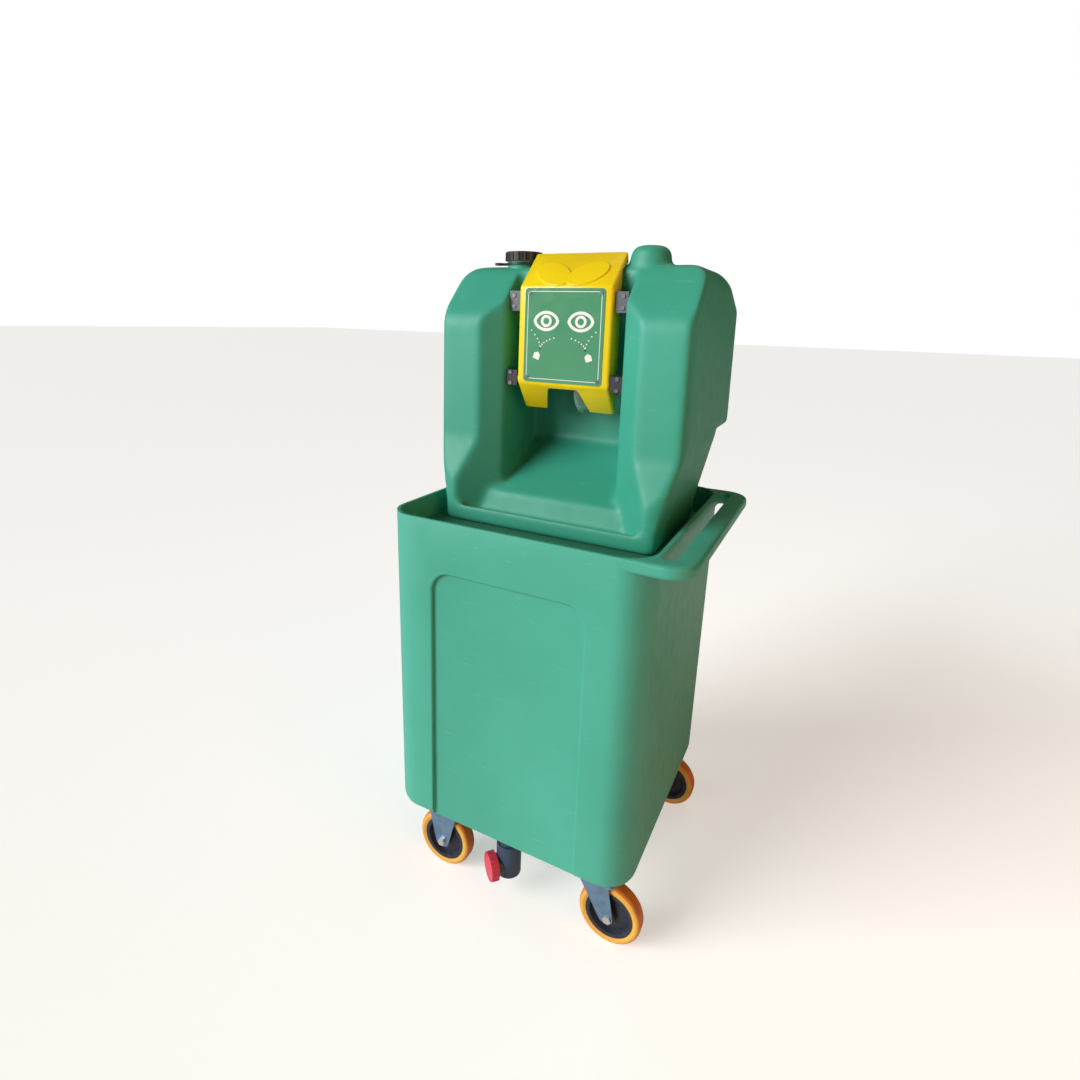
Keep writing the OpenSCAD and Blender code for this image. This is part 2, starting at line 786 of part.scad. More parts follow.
// Vertical socket with a closed, chamfered heel and a threaded spigot on its side
module drain_elbow() row() color([0.35, 0.45, 0.5]) {
    r = pipe_r + pipe_wall;
    heel = outlet_z - r;
    difference() {
        union() {
            at_drain() rod_z(heel + heel_h, elbow_top, 0, 0, r);
            at_drain() translate([0, 0, heel]) cylinder(h = heel_h, r1 = r - heel_h, r2 = r);
            at_outlet() cylinder(h = drain_spigot, r = pipe_r);
        }
        at_drain() rod_z(elbow_top - socket_h, elbow_top + 1, 0, 0, pipe_r + fit_gap);
        at_drain() rod_z(heel + heel_h + 2, elbow_top, 0, 0, drain_bore_r);
        at_outlet() cylinder(h = drain_spigot + 1, r = drain_bore_r - 1);
    }
}

module drain_gasket() row() color([0.1, 0.1, 0.1]) at_outlet()
    translate([0, 0, drain_spigot]) ring(gasket_t, pipe_r - 0.5, drain_bore_r - 1);

module drain_cap() row() color([0.8, 0.12, 0.15]) at_outlet()
    translate([0, 0, drain_cap_foot]) {
        inside_h = drain_spigot + gasket_t + seat_gap - drain_cap_foot;
        rib_r = 3;
        difference() {
            union() {
                cylinder(h = inside_h + cap_end, r = drain_cap_r - 2);
                for (a = [0:30:330])
                    rotate(a) translate([drain_cap_r - rib_r, 0, 0])
                        cylinder(h = inside_h + 2, r = rib_r);
            }
            translate([0, 0, -1]) cylinder(h = inside_h + 1, r = pipe_r + seat_gap);
        }
    }

// ---- casters ----

module caster_bolt_places() {
    for (x = [-rigid_x, swivel_x], y = [-caster_y, caster_y], dx = [-1, 1], dy = [-1, 1])
        translate([x + dx * bolt_dx, y + dy * bolt_dy, 0]) children();
}

module caster_bolts() row() color([0.75, 0.75, 0.77]) caster_bolt_places() {
    z = floor_z - plate_t;
    translate([0, 0, z - hex_h + 1]) cylinder(h = hex_h - 1, r = bolt_r * hex_ratio, $fn = 6);
    rod_z(z - 1, floor_z + cart_floor + 10, 0, 0, bolt_r);
}

module caster_nuts() row() color([0.75, 0.75, 0.77]) caster_bolt_places() difference() {
    translate([0, 0, floor_z + cart_floor]) cylinder(h = hex_h, r = bolt_r * hex_ratio, $fn = 6);
    rod_z(floor_z, floor_z + cart_floor + hex_h + 1, 0, 0, bolt_r);
}

module plate(hole) {
    difference() {
        round_box(-plate_l / 2, -plate_w / 2, plate_l / 2, plate_w / 2, 6, floor_z - plate_t, floor_z);
        for (dx = [-1, 1], dy = [-1, 1])
            rod_z(floor_z - plate_t - 1, floor_z + 1, dx * bolt_dx, dy * bolt_dy, bolt_r);
        if (hole) rod_z(floor_z - plate_t - 1, floor_z + 1, 0, 0, kingpin_r);
    }
}

// A fork: a web over the wheel and two legs that narrow down to the axle at distance dx
module fork(web, half_l, dx, hole) {
    foot_z = wheel_r - fork_end_r;
    leg = rounded([[dx - fork_end_r, foot_z], [dx + fork_end_r, foot_z], [half_l, web - 1],
        [-half_l, web - 1]], [fork_end_r - 1, fork_end_r - 1, 0, 0]);
    difference() {
        union() {
            round_box(-half_l, -fork_in - fork_t, half_l, fork_in + fork_t, 4, web - fork_t, web);
            for (y = [-fork_in - fork_t, fork_in]) along_y(y, y + fork_t) polygon(leg);
        }
        rod_y(-fork_in - fork_t - 1, fork_in + fork_t + 1, dx, wheel_r, axle_r);
        if (hole) rod_z(web - fork_t - 1, web + 1, 0, 0, kingpin_r + run_gap);
    }
}

module tyre(dx) {
    translate([dx, 0, wheel_r]) rotate([90, 0, 0]) rotate_extrude()
        polygon(concat([[core_r, -tyre_w / 2 + 2]],
            corner([core_r, -tyre_w / 2], [wheel_r, -tyre_w / 2], [wheel_r, 0], 9),
            corner([wheel_r, 0], [wheel_r, tyre_w / 2], [core_r, tyre_w / 2], 9),
            [[core_r, tyre_w / 2 - 2]]));
}

module hub(dx) {
    translate([dx, 0, wheel_r]) rotate([90, 0, 0]) rotate_extrude()
        polygon([[axle_r + run_gap, -fork_in + 0.5], [14, -fork_in + 0.5], [16, -8], [36, -6],
            [40, -tyre_w / 2 + 2], [core_r, -tyre_w / 2 + 2], [core_r, tyre_w / 2 - 2],
            [40, tyre_w / 2 - 2], [36, 6], [16, 8], [14, fork_in - 0.5],
            [axle_r + run_gap, fork_in - 0.5]]);
}

module axle(dx) {
    end = fork_in + fork_t;
    rod_y(-end, end, dx, wheel_r, axle_r);
    for (y = [-end - hex_h, end])
        translate([dx, y, wheel_r]) rotate([-90, 0, 0])
            cylinder(h = hex_h, r = axle_r * hex_ratio, $fn = 6);
}

module race() {
    difference() {
        rod_z(web_z + seat_gap, floor_z - plate_t, 0, 0, race_r);
        rod_z(web_z, floor_z - plate_t + 1, 0, 0, kingpin_r);
    }
}

module kingpin() {
    head_z = web_z - fork_t - seat_gap;
    rod_z(head_z, floor_z, 0, 0, kingpin_r);
    rod_z(head_z - pin_head_h, head_z, 0, 0, pin_head_r);
}

module front() {
    translate([0, -caster_y, 0]) children();
}

module rear() {
    translate([0, caster_y, 0]) children();
}

module rigid() {
    translate([-rigid_x, 0, 0]) children();
}

module swivel() {
    translate([swivel_x, 0, 0]) children();
}

zinc = [0.6, 0.68, 0.75];
orange = [0.95, 0.6, 0.15];
navy = [0.2, 0.24, 0.32];
rigid_web = floor_z - plate_t;

module front_left_plate() row() color(zinc) front() rigid() plate(false);
module front_left_fork() row() color(zinc) front() rigid() fork(rigid_web, rigid_half, 0, false);
module front_left_tyre() row() color(orange) front() rigid() tyre(0);
module front_left_hub() row() color(navy) front() rigid() hub(0);
module front_left_axle() row() color(zinc) front() rigid() axle(0);
module rear_left_plate() row() color(zinc) rear() rigid() plate(false);
module rear_left_fork() row() color(zinc) rear() rigid() fork(rigid_web, rigid_half, 0, false);
module rear_left_tyre() row() color(orange) rear() rigid() tyre(0);
module rear_left_hub() row() color(navy) rear() rigid() hub(0);
module rear_left_axle() row() color(zinc) rear() rigid() axle(0);
module front_right_plate() row() color(zinc) front() swivel() plate(true);
module front_right_race() row() color(zinc) front() swivel() race();
module front_right_kingpin() row() color(zinc) front() swivel() kingpin();
module front_right_fork() row() color(zinc) front() swivel() fork(web_z, swivel_half, trail, true);
module front_right_tyre() row() color(orange) front() swivel() tyre(trail);
module front_right_hub() row() color(navy) front() swivel() hub(trail);
module front_right_axle() row() color(zinc) front() swivel() axle(trail);
module rear_right_plate() row() color(zinc) rear() swivel() plate(true);
module rear_right_race() row() color(zinc) rear() swivel() race();
module rear_right_kingpin() row() color(zinc) rear() swivel() kingpin();
module rear_right_fork() row() color(zinc) rear() swivel() fork(web_z, swivel_half, trail, true);
module rear_right_tyre() row() color(orange) rear() swivel() tyre(trail);
module rear_right_hub() row() color(navy) rear() swivel() hub(trail);
module rear_right_axle() row() color(zinc) rear() swivel() axle(trail);

cart_body();
tank_deck();
tank_shell();
fill_cap();
fill_gasket();
cap_tether();
activation_arm();
arm_label();
label_rivets();
arm_pins();
hinge_brackets();
hinge_screws();
spray_manifold();
manifold_clip();
left_nozzle();
right_nozzle();
supply_hose();
hose_clamps();
tank_outlet();
outlet_nut();
left_catch();
right_catch();
catch_screws();
basin_strainer();
drain_bulkhead();
drain_washer();
drain_nut();
drain_elbow();
drain_gasket();
drain_cap();
caster_bolts();
caster_nuts();
front_left_plate();
front_left_fork();
front_left_tyre();
front_left_hub();
front_left_axle();
rear_left_plate();
rear_left_fork();
rear_left_tyre();
rear_left_hub();
rear_left_axle();
front_right_plate();
front_right_race();
front_right_kingpin();
front_right_fork();
front_right_tyre();
front_right_hub();
front_right_axle();
rear_right_plate();
rear_right_race();
rear_right_kingpin();
rear_right_fork();
rear_right_tyre();
rear_right_hub();
rear_right_axle();
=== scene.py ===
import math

import bmesh
import bpy
from mathutils import Matrix, Vector


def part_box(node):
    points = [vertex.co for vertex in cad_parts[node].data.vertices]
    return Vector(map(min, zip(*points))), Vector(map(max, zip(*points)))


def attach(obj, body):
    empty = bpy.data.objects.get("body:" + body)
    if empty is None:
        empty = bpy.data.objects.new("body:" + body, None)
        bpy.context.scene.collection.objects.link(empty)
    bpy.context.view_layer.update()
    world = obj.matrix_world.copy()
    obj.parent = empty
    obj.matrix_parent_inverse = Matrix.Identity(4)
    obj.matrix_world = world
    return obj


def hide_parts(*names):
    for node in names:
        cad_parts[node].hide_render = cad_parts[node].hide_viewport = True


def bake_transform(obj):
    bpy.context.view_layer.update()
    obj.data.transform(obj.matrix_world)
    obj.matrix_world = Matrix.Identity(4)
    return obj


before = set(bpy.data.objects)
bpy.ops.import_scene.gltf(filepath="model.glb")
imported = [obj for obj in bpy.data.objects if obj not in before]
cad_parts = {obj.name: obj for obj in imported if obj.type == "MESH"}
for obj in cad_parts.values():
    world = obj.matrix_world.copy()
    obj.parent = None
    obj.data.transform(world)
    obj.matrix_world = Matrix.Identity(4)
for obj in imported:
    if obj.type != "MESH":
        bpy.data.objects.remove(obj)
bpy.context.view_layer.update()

# ---- Camera and light -----------------------------------------------------------------
# The camera stands in front, to the right of the eyewash and a little above its arm.
# Soft light comes from the front left, and the right side is left dim and warm.

ground_middle = Vector((-0.03225, -0.04725, 0.0))
turned, tipped, rolled = 0.4820, 0.1990, -0.0290
ahead = Vector((-math.sin(turned) * math.cos(tipped), math.cos(turned) * math.cos(tipped),
                -math.sin(tipped)))
level = Vector((math.cos(turned), math.sin(turned), 0.0))
down = ahead.cross(level)
right = math.cos(rolled) * level + math.sin(rolled) * down
up = math.sin(rolled) * level - math.cos(rolled) * down
eye = ground_middle + Vector((0.5241, -1.2450, 1.1825))

view = bpy.data.cameras.new("front_view")
view.lens = 21.47
view.sensor_width = 36.0
view.shift_x = 0.0216
view.shift_y = -0.083
view.clip_start = 0.02
watcher = bpy.data.objects.new("front_view", view)
bpy.context.scene.collection.objects.link(watcher)
watcher.matrix_world = Matrix((
    (right.x, up.x, -ahead.x, eye.x),
    (right.y, up.y, -ahead.y, eye.y),
    (right.z, up.z, -ahead.z, eye.z),
    (0.0, 0.0, 0.0, 1.0)))
bpy.context.scene.camera = watcher


def soft_light(name, place, aim, width, power, colour):
    lamp = bpy.data.lights.new(name, "AREA")
    lamp.shape = "DISK"
    lamp.size = width
    lamp.energy = power
    lamp.color = colour
    held = bpy.data.objects.new(name, lamp)
    bpy.context.scene.collection.objects.link(held)
    held.location = place
    held.rotation_euler = (Vector(aim) - Vector(place)).to_track_quat("-Z", "Y").to_euler()


sky = bpy.data.lights.new("key", "SUN")
sky.energy = 3.3
sky.angle = math.radians(40)
key = bpy.data.objects.new("key", sky)
bpy.context.scene.collection.objects.link(key)
key.rotation_euler = Vector((2.25, 2.75, -1.35)).to_track_quat("-Z", "Y").to_euler()
soft_light("fill", (2.9, -1.3, 1.6), (0, 0, 0.7), 2.4, 26, (1.0, 0.36, 0.07))
soft_light("top", (0.5, 1.1, 3.4), (0, 0.1, 0.8), 2.2, 8, (1.0, 0.93, 0.72))

room = bpy.data.worlds.new("pale_room")
room.use_nodes = True
ambient = room.node_tree.nodes["Background"]
ambient.inputs["Color"].default_value = (1.0, 0.88, 0.60, 1.0)
ambient.inputs["Strength"].default_value = 0.08
backdrop = room.node_tree.nodes.new("ShaderNodeBackground")
backdrop.inputs["Color"].default_value = (1.0, 1.0, 1.0, 1.0)
seen = room.node_tree.nodes.new("ShaderNodeLightPath")
either = room.node_tree.nodes.new("ShaderNodeMixShader")
room.node_tree.links.new(seen.outputs["Is Camera Ray"], either.inputs["Fac"])
room.node_tree.links.new(ambient.outputs["Background"], either.inputs[1])
room.node_tree.links.new(backdrop.outputs["Background"], either.inputs[2])
room.node_tree.links.new(either.outputs["Shader"], room.node_tree.nodes["World Output"].inputs["Surface"])
bpy.context.scene.world = room
bpy.context.scene.view_settings.view_transform = "Standard"


def let_go():
    if bpy.context.mode != "OBJECT":
        bpy.ops.object.mode_set(mode="OBJECT")
    bpy.ops.object.select_all(action="DESELECT")


def take(piece):
    let_go()
    piece.select_set(True)
    bpy.context.view_layer.objects.active = piece


let_go()
bpy.ops.mesh.primitive_plane_add(size=90)
ground = bpy.context.active_object
ground.name = "ground"
paint = bpy.data.materials.new("pale_ground")
paint.use_nodes = True
painted = paint.node_tree.nodes["Principled BSDF"]
painted.inputs["Base Color"].default_value = (0.95, 0.95, 0.95, 1)
painted.inputs["Roughness"].default_value = 0.8
painted.inputs["Emission Color"].default_value = (1, 1, 1, 1)
# The ground glows a little for the camera alone, so that it stays pale under the low light
direct = paint.node_tree.nodes.new("ShaderNodeLightPath")
lift = paint.node_tree.nodes.new("ShaderNodeMath")
lift.operation = "MULTIPLY"
lift.inputs[1].default_value = 0.45
paint.node_tree.links.new(direct.outputs["Is Camera Ray"], lift.inputs[0])
paint.node_tree.links.new(lift.outputs[0], painted.inputs["Emission Strength"])
ground.data.materials.append(paint)

# ---- Supply hose ----------------------------------------------------------------------
# Clear flexible tube between the tank's outlet and the arm's inlet, long enough to let the
# arm swing down. It is pushed over both barbs and hangs in one loop below the arm.


def at(x, y, z):
    """A point given in millimetres from the ground under the cart's middle."""
    return ground_middle + Vector((x, y, z)) / 1000


hose_x, arm_side_y, loop_radius, inlet_z, loop_z = 27.0, -32.0, 46.0, 1120.0, 1050.0
hose_line = [at(hose_x, arm_side_y, inlet_z + (loop_z - inlet_z) * k / 4) for k in range(4)]
for k in range(25):
    swing = math.radians(180 * k / 24)
    hose_line.append(at(hose_x, arm_side_y + loop_radius * (1 - math.cos(swing)),
                        loop_z - loop_radius * math.sin(swing)))


def tube_along(name, line, radius, sides):
    """A closed tube swept along points that lie in one upright plane."""
    shape = bmesh.new()
    rings = []
    for k, point in enumerate(line):
        way = line[min(k + 1, len(line) - 1)] - line[max(k - 1, 0)]
        if k in (0, len(line) - 1):
            way = Vector((0, 0, -1 if k == 0 else 1))
        way.normalize()
        side = way.cross(Vector((1, 0, 0))).normalized()
        rings.append([shape.verts.new(
            point + radius * (math.cos(math.tau * s / sides) * Vector((1, 0, 0))
                              + math.sin(math.tau * s / sides) * side))
            for s in range(sides)])
    for first, second in zip(rings, rings[1:]):
        for s in range(sides):
            t = (s + 1) % sides
            shape.faces.new((first[s], first[t], second[t], second[s]))
    shape.faces.new(rings[0][::-1])
    shape.faces.new(rings[-1])
    bmesh.ops.recalc_face_normals(shape, faces=shape.faces)
    tube = bpy.data.objects.new(name, bpy.data.meshes.new(name))
    shape.to_mesh(tube.data)
    shape.free()
    bpy.context.scene.collection.objects.link(tube)
    return tube


def fine_line(line, steps):
    """The same line with straight steps cut finer, so that a bent stretch stays round."""
    return [a.lerp(b, k / steps) for a, b in zip(line, line[1:]) for k in range(steps)] + [line[-1]]


hose = tube_along("clear_hose", fine_line(hose_line, 3), 0.010, 24)
take(hose)
bpy.ops.object.shade_smooth_by_angle(angle=math.radians(40))


def principled(name):
    """A new material and its shader, with the shader's sockets ready to set."""
    skin = bpy.data.materials.new(name)
    skin.use_nodes = True
    return skin, skin.node_tree, skin.node_tree.nodes["Principled BSDF"]


def node(tree, kind, **settings):
    """A new node: settings named as its properties, or as its input sockets."""
    made = tree.nodes.new(kind)
    for key, value in settings.items():
        if key in made.inputs:
            made.inputs[key].default_value = value
        else:
            setattr(made, key, value)
    return made


skin, tree, shader = principled("clear_tube")
shader.inputs["Base Color"].default_value = (0.78, 0.86, 0.84, 1)
shader.inputs["Transmission Weight"].default_value = 0.85
shader.inputs["IOR"].default_value = 1.4
cloud = node(tree, "ShaderNodeTexNoise", Scale=60.0, Detail=3.0)
where = node(tree, "ShaderNodeTexCoord")
tree.links.new(where.outputs["Object"], cloud.inputs["Vector"])
spread = node(tree, "ShaderNodeMapRange")
spread.inputs["To Min"].default_value = 0.08
spread.inputs["To Max"].default_value = 0.3
tree.links.new(cloud.outputs["Fac"], spread.inputs["Value"])
tree.links.new(spread.outputs["Result"], shader.inputs["Roughness"])
hose.data.materials.append(skin)
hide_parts("supply_hose")
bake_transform(hose)

# ---- Cart body ------------------------------------------------------------------------
# One rotomoulded polyethylene tub with a wall of 6 mm, a shallow panel pressed into its
# front and back, and a push handle moulded onto its rim.

tub_low, tub_high = (Vector(corner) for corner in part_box("cart_body"))
tub_width, tub_wall, tub_draft, tub_corner = 0.543, 0.006, 0.009, 0.062
panel_half, panel_top, panel_depth, panel_corner = 0.159, 0.702, 0.008, 0.040
tub_mid = Vector((tub_low.x + tub_width / 2, (tub_low.y + tub_high.y) / 2, 0))


def block(name, low, high):
    """A box between two corners, its place in its mesh."""
    let_go()
    bpy.ops.mesh.primitive_cube_add(size=1, location=(Vector(low) + Vector(high)) / 2)
    made = bpy.context.active_object
    made.name = made.data.name = name
    made.scale = Vector(high) - Vector(low)
    bpy.ops.object.transform_apply(location=True, rotation=True, scale=True)
    return made


def pick_edges(piece, wanted):
    """Selects the edges that wanted(one end, other end) accepts, and opens edit mode."""
    take(piece)
    mesh = piece.data
    for part in (mesh.vertices, mesh.edges, mesh.polygons):
        part.foreach_set("select", [False] * len(part))
    for edge in mesh.edges:
        edge.select = wanted(*(mesh.vertices[v].co for v in edge.vertices))
    bpy.context.scene.tool_settings.mesh_select_mode = (False, True, False)
    bpy.ops.object.mode_set(mode="EDIT")


def round_edges(piece, wanted, radius, steps=6):
    pick_edges(piece, wanted)
    bpy.ops.mesh.bevel(offset=radius, segments=steps, affect="EDGES", profile=0.5)
    let_go()


def runs(axis):
    """Accepts edges that run along one axis, or nearly."""
    return lambda a, b: abs((b - a).normalized()[axis]) > 0.98


def upright_at(x):
    """Accepts upright edges at one side."""
    return lambda a, b: abs((b - a).normalized().z) > 0.95 and abs(a.x - x) < 0.012


def change(piece, kind, **settings):
    """Adds one modifier with its settings and applies it."""
    take(piece)
    step = piece.modifiers.new(kind.lower(), kind)
    for key, value in settings.items():
        setattr(step, key, value)
    bpy.ops.object.modifier_apply(modifier=step.name)


def carve(piece, tool, operation="DIFFERENCE"):
    change(piece, "BOOLEAN", object=tool, operation=operation, solver="EXACT")
    bpy.data.objects.remove(tool)


def mirror_copy(piece, axis, middle):
    """A copy of a piece on the other side of a plane across one axis."""
    twin = piece.copy()
    twin.data = piece.data.copy()
    bpy.context.scene.collection.objects.link(twin)
    flip = Matrix.Scale(-1, 4, Vector([float(k == axis) for k in range(3)]))
    offset = Vector([2 * middle if k == axis else 0 for k in range(3)])
    twin.data.transform(Matrix.Translation(offset) @ flip)
    twin.data.flip_normals()
    return twin


def tub_block(name, inset, low_z, high_z):
    """A block that narrows to the ground as the tub does, held inside its faces."""
    made = block(name, (tub_low.x + inset, tub_low.y + inset, low_z),
                 (tub_low.x + tub_width - inset, tub_high.y - inset, high_z))
    rim_z, floor_z = tub_high.z, tub_low.z

    def lean(z):
        return tub_draft * (rim_z - z) / (rim_z - floor_z)

    for corner in made.data.vertices:
        away = corner.co - tub_mid
        corner.co.x -= math.copysign(lean(corner.co.z), away.x)
        corner.co.y -= math.copysign(lean(corner.co.z), away.y)
    round_edges(made, lambda a, b: abs((b - a).normalized().z) > 0.95, tub_corner - inset, 12)
    return made


def panel_block(name, grow, front, back):
    """A slab with the panel's outline that leans with the tub's front, between two depths."""
    rim_z, floor_z = tub_high.z, tub_low.z
    low_z, high_z = floor_z - 0.02, panel_top + grow
    made = block(name, (tub_mid.x - panel_half - grow, tub_low.y + front, low_z),
                 (tub_mid.x + panel_half + grow, tub_low.y + back, high_z))
    for corner in made.data.vertices:
        corner.co.y += tub_draft * (rim_z - corner.co.z) / (rim_z - floor_z)
    round_edges(made, lambda a, b: runs(1)(a, b) and min(a.z, b.z) > 0.5, panel_corner + grow, 10)
    return made


tub = tub_block("cart_moulding", 0.0, tub_low.z, tub_high.z)
round_edges(tub, lambda a, b: max(a.z, b.z) < tub_low.z + 0.001, 0.018, 5)
handle = block("handle", (tub_mid.x, tub_low.y + 0.0004, tub_high.z - 0.025),
               (tub_high.x, tub_high.y - 0.0004, tub_high.z))
round_edges(handle, upright_at(tub_high.x), 0.052, 12)
round_edges(handle, lambda a, b: (abs(a.z - tub_high.z + 0.025) < 1e-4
                                  and abs(b.z - tub_high.z + 0.025) < 1e-4), 0.009, 4)
round_edges(handle, lambda a, b: (a.z > tub_high.z - 1e-4 and b.z > tub_high.z - 1e-4
                                  and max(a.x, b.x) > tub_mid.x + 0.27), 0.007, 4)
slot_hole = block("slot", (tub_low.x + tub_width + 0.002, tub_low.y + 0.0335, tub_high.z - 0.06),
                  (tub_high.x - 0.036, tub_high.y - 0.0335, tub_high.z + 0.03))
round_edges(slot_hole, runs(2), 0.0125, 8)
carve(handle, slot_hole)
front_panel = panel_block("panel", 0.0, -0.02, panel_depth)
rear_panel = mirror_copy(front_panel, 1, tub_mid.y)
carve(tub, front_panel)
carve(tub, rear_panel)


def panel_rim(a, b):
    """Accepts the edges where a panel meets the tub's face, above its rounded foot."""
    def on(p):
        lean = tub_draft * (tub_high.z - p.z) / (tub_high.z - tub_low.z)
        return (abs(abs(p.y - tub_mid.y) + lean - (tub_high.y - tub_mid.y)) < 0.0006
                and abs(p.x - tub_mid.x) < panel_half + 0.0006 and p.z < panel_top + 0.0006)
    return on(a) and on(b) and max(a.z, b.z) > tub_low.z + 0.019


round_edges(tub, panel_rim, 0.0045, 4)
hollow = tub_block("hollow", tub_wall, tub_low.z + 0.008, tub_high.z + 0.03)
handle_hollow = tub_block("handle_hollow", tub_wall, tub_high.z - 0.08, tub_high.z + 0.03)
front_wall = panel_block("panel_wall", tub_wall, 0.0, panel_depth + tub_wall)
rear_wall = mirror_copy(front_wall, 1, tub_mid.y)
carve(hollow, front_wall)
carve(hollow, rear_wall)
carve(tub, hollow)
carve(handle, handle_hollow)
carve(tub, handle, "UNION")
change(tub, "WELD", merge_threshold=0.0001)
change(tub, "BEVEL", width=0.0026, segments=3, limit_method="ANGLE",
       angle_limit=math.radians(42), miter_outer="MITER_ARC")
take(tub)
bpy.ops.object.shade_smooth_by_angle(angle=math.radians(32))


def group(name, inputs, outputs):
    """A shader node group with named sockets: (name, kind, default) in, (name, kind) out."""
    made = bpy.data.node_groups.new(name, "ShaderNodeTree")
    for label, kind, default in inputs:
        socket = made.interface.new_socket(label, in_out="INPUT", socket_type=kind)
        socket.default_value = default
    for label, kind in outputs:
        made.interface.new_socket(label, in_out="OUTPUT", socket_type=kind)
    entry = made.nodes.new("NodeGroupInput")
    leave = made.nodes.new("NodeGroupOutput")
    return made, entry.outputs, leave.inputs


def mixed(tree, factor, first, second):
    """A colour mix: each of its three inputs is a socket or a value."""
    mix = tree.nodes.new("ShaderNodeMix")
    mix.data_type = "RGBA"
    for key, value in (("Factor", factor), ("A", first), ("B", second)):
        socket = [s for s in mix.inputs if s.name == key and s.enabled][0]
        if hasattr(value, "is_output"):
            tree.links.new(value, socket)
        else:
            socket.default_value = value
    return [s for s in mix.outputs if s.enabled][0]


def noise(tree, place, scale, detail=3.0, rough=0.5):
    """Noise over object coordinates."""
    made = node(tree, "ShaderNodeTexNoise", Scale=scale, Detail=detail, Roughness=rough)
    tree.links.new(place, made.inputs["Vector"])
    return made.outputs["Fac"]


def ramp(tree, value, low, high, to_low=0.0, to_high=1.0):
    """Maps a value between two limits onto another range, clamped."""
    made = tree.nodes.new("ShaderNodeMapRange")
    tree.links.new(value, made.inputs["Value"])
    made.inputs["From Min"].default_value = low
    made.inputs["From Max"].default_value = high
    for key, amount in (("To Min", to_low), ("To Max", to_high)):
        if hasattr(amount, "is_output"):
            tree.links.new(amount, made.inputs[key])
        else:
            made.inputs[key].default_value = amount
    return made.outputs["Result"]


def math_node(tree, operation, first, second):
    made = tree.nodes.new("ShaderNodeMath")
    made.operation = operation
    for k, value in enumerate((first, second)):
        if hasattr(value, "is_output"):
            tree.links.new(value, made.inputs[k])
        else:
            made.inputs[k].default_value = value
    return made.outputs[0]


# Rotomoulded polyethylene: cloudy colour, a fine pebbled skin, faint scuffs and dust
mould_skin, given, gives = group("moulded_skin", [
    ("Colour", "NodeSocketColor", (0.1, 0.4, 0.3, 1)),
    ("Deep Colour", "NodeSocketColor", (0.05, 0.3, 0.2, 1)),
    ("Scuffs", "NodeSocketFloat", 0.5),
    ("Gloss", "NodeSocketFloat", 0.4)], [
    ("Colour", "NodeSocketColor"), ("Roughness", "NodeSocketFloat"), ("Height", "NodeSocketFloat")])
spot = mould_skin.nodes.new("ShaderNodeTexCoord").outputs["Object"]
clouds = ramp(mould_skin, noise(mould_skin, spot, 5.0, 4.0), 0.3, 0.7)
flecks = ramp(mould_skin, noise(mould_skin, spot, 160.0, 2.0), 0.62, 0.75)
stretch = mould_skin.nodes.new("ShaderNodeMapping")
stretch.inputs["Scale"].default_value = (9.0, 9.0, 70.0)
stretch.inputs["Rotation"].default_value = (0.3, 0.5, 0.2)
mould_skin.links.new(spot, stretch.inputs["Vector"])
streaks = ramp(mould_skin, noise(mould_skin, stretch.outputs["Vector"], 2.2, 5.0, 0.6), 0.63, 0.72)
scuffed = math_node(mould_skin, "MULTIPLY", streaks, given["Scuffs"])
base = mixed(mould_skin, clouds, given["Deep Colour"], given["Colour"])
pale = mixed(mould_skin, 0.5, given["Colour"], (0.62, 0.8, 0.72, 1))
worn = mixed(mould_skin, math_node(mould_skin, "MULTIPLY", scuffed, 0.3), base, pale)
dark = mixed(mould_skin, math_node(mould_skin, "MULTIPLY", flecks, 0.16), worn,
             given["Deep Colour"])
mould_skin.links.new(dark, gives["Colour"])
rough = ramp(mould_skin, noise(mould_skin, spot, 34.0, 3.0), 0.3, 0.7, -0.05, 0.06)
rough = math_node(mould_skin, "ADD", rough, given["Gloss"])
rough = math_node(mould_skin, "ADD", rough, math_node(mould_skin, "MULTIPLY", scuffed, 0.15))
mould_skin.links.new(rough, gives["Roughness"])
pebbles = noise(mould_skin, spot, 420.0, 2.0)
swell = noise(mould_skin, spot, 22.0, 2.0)
height = math_node(mould_skin, "ADD", math_node(mould_skin, "MULTIPLY", pebbles, 0.35), swell)
height = math_node(mould_skin, "SUBTRACT", height, math_node(mould_skin, "MULTIPLY", scuffed, 0.25))
mould_skin.links.new(height, gives["Height"])


def dress(name, effect, bump, values, **plain):
    """A material whose colour, roughness and relief come from one effect group."""
    skin, tree, shader = principled(name)
    worked = tree.nodes.new("ShaderNodeGroup")
    worked.node_tree = effect
    for key, value in values.items():
        worked.inputs[key].default_value = value
    relief = node(tree, "ShaderNodeBump", Strength=bump[0], Distance=bump[1])
    tree.links.new(worked.outputs["Height"], relief.inputs["Height"])
    tree.links.new(relief.outputs["Normal"], shader.inputs["Normal"])
    tree.links.new(worked.outputs["Colour"], shader.inputs["Base Color"])
    tree.links.new(worked.outputs["Roughness"], shader.inputs["Roughness"])
    for key, value in plain.items():
        shader.inputs[key.replace("_", " ")].default_value = value
    return skin


def moulded(name, colour, deep, gloss, scuffs=0.5, bump=0.35):
    return dress(name, mould_skin, (bump, 0.0012),
                 {"Colour": (*colour, 1), "Deep Colour": (*deep, 1), "Gloss": gloss,
                  "Scuffs": scuffs}, Specular_IOR_Level=0.45)


tub_green = moulded("cart_green", (0.073, 0.445, 0.328), (0.060, 0.400, 0.288), 0.40)
tub.data.materials.clear()
tub.data.materials.append(tub_green)
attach(tub, "cart")
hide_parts("cart_body")

# ---- Tank -----------------------------------------------------------------------------
# Rotomoulded polyethylene in one piece: two columns stand on either side of a recess with
# the basin at its foot, and water fills both. Every edge comes out of the mould soft.



